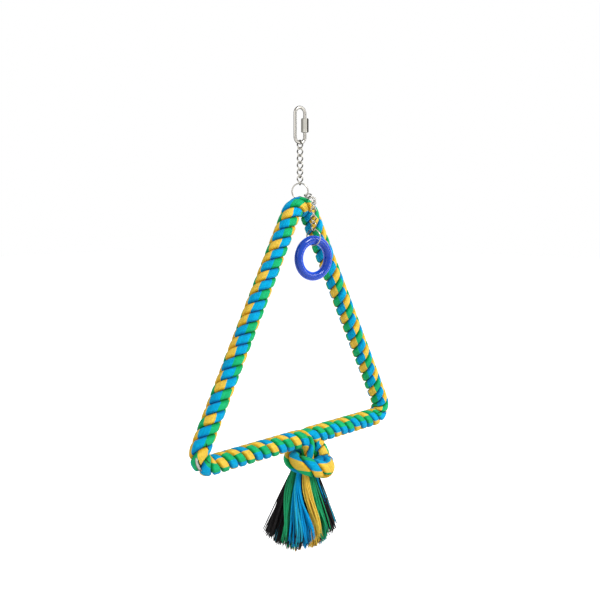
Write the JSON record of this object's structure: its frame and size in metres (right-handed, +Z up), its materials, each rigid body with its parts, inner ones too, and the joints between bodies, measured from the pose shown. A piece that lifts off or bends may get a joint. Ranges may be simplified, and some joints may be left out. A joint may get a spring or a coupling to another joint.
{
  "type": "rope bird swing",
  "caption": "Triangular perch swing of twisted cotton rope over a wire core, with a knotted tassel, a plastic ring on a side chain, and a chain and screw link to hang it by.",
  "frame": {"origin": "where a hook bears inside the top of the screw link", "axes": "+Z up; the rope triangle lies in the XZ plane with its perch along X; -Y faces the viewer, on the side where the plastic ring hangs"},
  "size_m": [0.301, 0.0698, 0.4659],
  "materials": {
    "link_steel": "bright plated",
    "chain_steel": "bright plated",
    "core_steel": "dull galvanised",
    "rope_blue": "dyed twisted cotton, with yellow and green strands in the render",
    "rope_green": "dyed twisted cotton",
    "rope_yellow": "dyed twisted cotton",
    "rope_black": "dyed cotton yarn",
    "blue_plastic": "gloss, slightly translucent"
  },
  "bodies": {
    "quick_link": {"quick_link_body": "link_steel"},
    "nut": {"quick_link_nut": "link_steel"},
    "hanger_link_1": {"hanger_link_1": "chain_steel"},
    "hanger_link_2": {"hanger_link_2": "chain_steel"},
    "hanger_link_3": {"hanger_link_3": "chain_steel"},
    "hanger_link_4": {"hanger_link_4": "chain_steel"},
    "hanger_link_5": {"hanger_link_5": "chain_steel"},
    "hanger_link_6": {"hanger_link_6": "chain_steel"},
    "main_ring": {"main_ring": "chain_steel"},
    "frame": {"rope": "rope_blue", "core_wire": "core_steel", "core_sleeve": "core_steel", "knot_neck": "rope_green", "knot_wrap": "rope_yellow", "tassel_lock_middle": "rope_yellow", "tassel_lock_1": "rope_black", "tassel_lock_2": "rope_green", "tassel_lock_3": "rope_blue", "tassel_lock_4": "rope_yellow", "tassel_lock_5": "rope_green", "tassel_lock_6": "rope_blue", "tassel_lock_7": "rope_black", "tassel_lock_8": "rope_green", "tassel_lock_9": "rope_blue"},
    "toy_link_1": {"toy_link_1": "chain_steel"},
    "toy_link_2": {"toy_link_2": "chain_steel"},
    "toy_link_3": {"toy_link_3": "chain_steel"},
    "toy_link_4": {"toy_link_4": "chain_steel"},
    "toy_link_5": {"toy_link_5": "chain_steel"},
    "toy_link_6": {"toy_link_6": "chain_steel"},
    "small_ring": {"toy_small_ring": "chain_steel"},
    "toy_ring": {"toy_ring": "blue_plastic"}
  },
  "joints": [
    {"name": "nut_slide", "type": "slide", "parent": "quick_link", "child": "nut", "axis": [0, 0, -1], "range_m": [0, 0.0054]},
    {"name": "hanger_1_swing", "type": "hinge", "parent": "quick_link", "child": "hanger_link_1", "pos_m": [0, 0, -0.0338], "axis": [0.9781, -0.2079, 0], "range_deg": [-20, 20]},
    {"name": "hanger_2_swing", "type": "hinge", "parent": "hanger_link_1", "child": "hanger_link_2", "pos_m": [0, 0, -0.03845], "axis": [-0.0489, 0.9988, 0], "range_deg": [-20, 20]},
    {"name": "hanger_3_swing", "type": "hinge", "parent": "hanger_link_2", "child": "hanger_link_3", "pos_m": [0, 0, -0.04725], "axis": [-0.9988, -0.0489, 0], "range_deg": [-20, 20]},
    {"name": "hanger_4_swing", "type": "hinge", "parent": "hanger_link_3", "child": "hanger_link_4", "pos_m": [0, 0, -0.05285], "axis": [-0.3024, 0.9532, 0], "range_deg": [-20, 20]},
    {"name": "hanger_5_swing", "type": "hinge", "parent": "hanger_link_4", "child": "hanger_link_5", "pos_m": [0, 0, -0.06165], "axis": [-0.9532, -0.3024, 0], "range_deg": [-20, 20]},
    {"name": "hanger_6_swing", "type": "hinge", "parent": "hanger_link_5", "child": "hanger_link_6", "pos_m": [0, 0, -0.06725], "axis": [-0.5358, 0.8443, 0], "range_deg": [-20, 20]},
    {"name": "ring_swing", "type": "hinge", "parent": "hanger_link_6", "child": "main_ring", "pos_m": [0, 0, -0.07605], "axis": [-0.8443, -0.5358, 0], "range_deg": [-20, 20]},
    {"name": "frame_swing", "type": "hinge", "parent": "main_ring", "child": "frame", "pos_m": [0, 0, -0.09075], "axis": [0.6652, -0.7466, 0], "range_deg": [-10, 10]},
    {"name": "toy_1_swing", "type": "hinge", "parent": "frame", "child": "toy_link_1", "pos_m": [0.00451, -0.00299, -0.08731], "axis": [-0.8536, 0.014, 0.5207], "range_deg": [0, 15]},
    {"name": "toy_2_swing", "type": "hinge", "parent": "toy_link_1", "child": "toy_link_2", "pos_m": [0.00356, -0.01022, -0.08768], "axis": [-0.987, -0.0505, 0.1527], "range_deg": [0, 25]},
    {"name": "toy_3_swing", "type": "hinge", "parent": "toy_link_2", "child": "toy_link_3", "pos_m": [0.00278, -0.01594, -0.09208], "axis": [-0.9809, 0.1945, 0], "range_deg": [0, 20]},
    {"name": "toy_4_swing", "type": "hinge", "parent": "toy_link_3", "child": "toy_link_4", "pos_m": [0.00278, -0.01594, -0.10088], "axis": [-0.1945, -0.9809, 0], "range_deg": [0, 15]},
    {"name": "toy_5_swing", "type": "hinge", "parent": "toy_link_4", "child": "toy_link_5", "pos_m": [0.00278, -0.01594, -0.10648], "axis": [-0.4815, 0.8765, 0], "range_deg": [0, 15]},
    {"name": "toy_6_swing", "type": "hinge", "parent": "toy_link_5", "child": "toy_link_6", "pos_m": [0.00278, -0.01594, -0.11528], "axis": [-0.8765, -0.4815, 0], "range_deg": [0, 15]},
    {"name": "small_ring_swing", "type": "hinge", "parent": "toy_link_6", "child": "small_ring", "pos_m": [0.00278, -0.01594, -0.12248], "axis": [-0.9978, -0.066, 0], "range_deg": [-10, 15]},
    {"name": "toy_ring_swing", "type": "hinge", "parent": "small_ring", "child": "toy_ring", "pos_m": [0.00278, -0.01594, -0.13718], "axis": [0.1392, -0.9903, 0], "range_deg": [-15, 15]}
  ]
}
